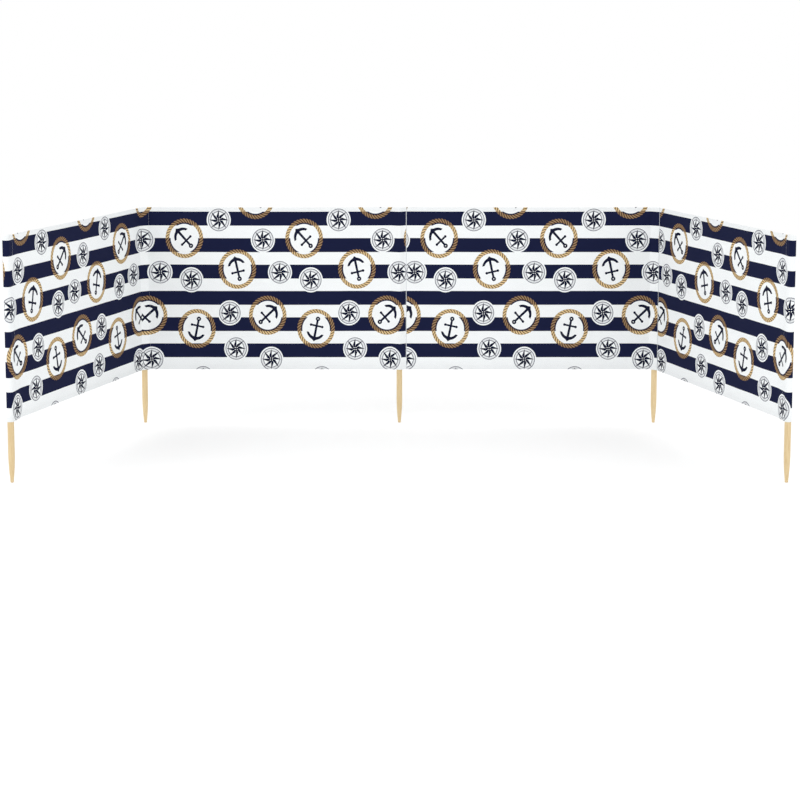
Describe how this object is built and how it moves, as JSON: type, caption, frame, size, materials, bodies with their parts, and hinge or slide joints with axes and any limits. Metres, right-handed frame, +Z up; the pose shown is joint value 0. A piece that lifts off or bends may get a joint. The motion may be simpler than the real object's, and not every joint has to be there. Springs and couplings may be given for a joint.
{
  "type": "beach windbreak",
  "caption": "Cloth windbreak in bays on sharpened round wooden stakes, pitched in a U; the bays fold about their stakes.",
  "frame": {"origin": "the cut tip of the centre stake, on its axis", "axes": "+X along the two inner bays, to the right as seen from the open side; +Y away from the open side; +Z up along the stakes"},
  "size_m": [3.3464, 1.2143, 1.065],
  "materials": {
    "stake_wood": "sanded bare softwood, matt",
    "striped_cloth": "printed woven polyester, navy and white stripes, low sheen",
    "hem_cloth": "folded and stitched edge of the same cloth",
    "pocket_cloth": "same printed cloth, wrapped round the stake and sewn"
  },
  "bodies": {
    "left_middle": {"stake_2": "stake_wood", "pocket_2": "pocket_cloth", "bay_2": "striped_cloth", "top_hem_2": "hem_cloth", "bottom_hem_2": "hem_cloth", "stake_3": "stake_wood"},
    "left_wing": {"stake_1": "stake_wood", "pocket_1": "pocket_cloth", "bay_1": "striped_cloth", "top_hem_1": "hem_cloth", "bottom_hem_1": "hem_cloth"},
    "right_middle": {"pocket_3": "pocket_cloth", "bay_3": "striped_cloth", "top_hem_3": "hem_cloth", "bottom_hem_3": "hem_cloth", "stake_4": "stake_wood"},
    "right_wing": {"pocket_4": "pocket_cloth", "bay_4": "striped_cloth", "top_hem_4": "hem_cloth", "bottom_hem_4": "hem_cloth", "stake_5": "stake_wood", "pocket_5": "pocket_cloth"}
  },
  "joints": [
    {"name": "left_fold", "type": "hinge", "parent": "left_middle", "child": "left_wing", "pos_m": [-1.25, 0, 0], "axis": [0, 0, 1], "range_deg": [-161, 39]},
    {"name": "centre_fold", "type": "hinge", "parent": "left_middle", "child": "right_middle", "pos_m": [0, 0, 0], "axis": [0, 0, -1], "range_deg": [-60, 60]},
    {"name": "right_fold", "type": "hinge", "parent": "right_middle", "child": "right_wing", "pos_m": [1.25, 0, 0], "axis": [0, 0, -1], "range_deg": [-161, 39]}
  ]
}
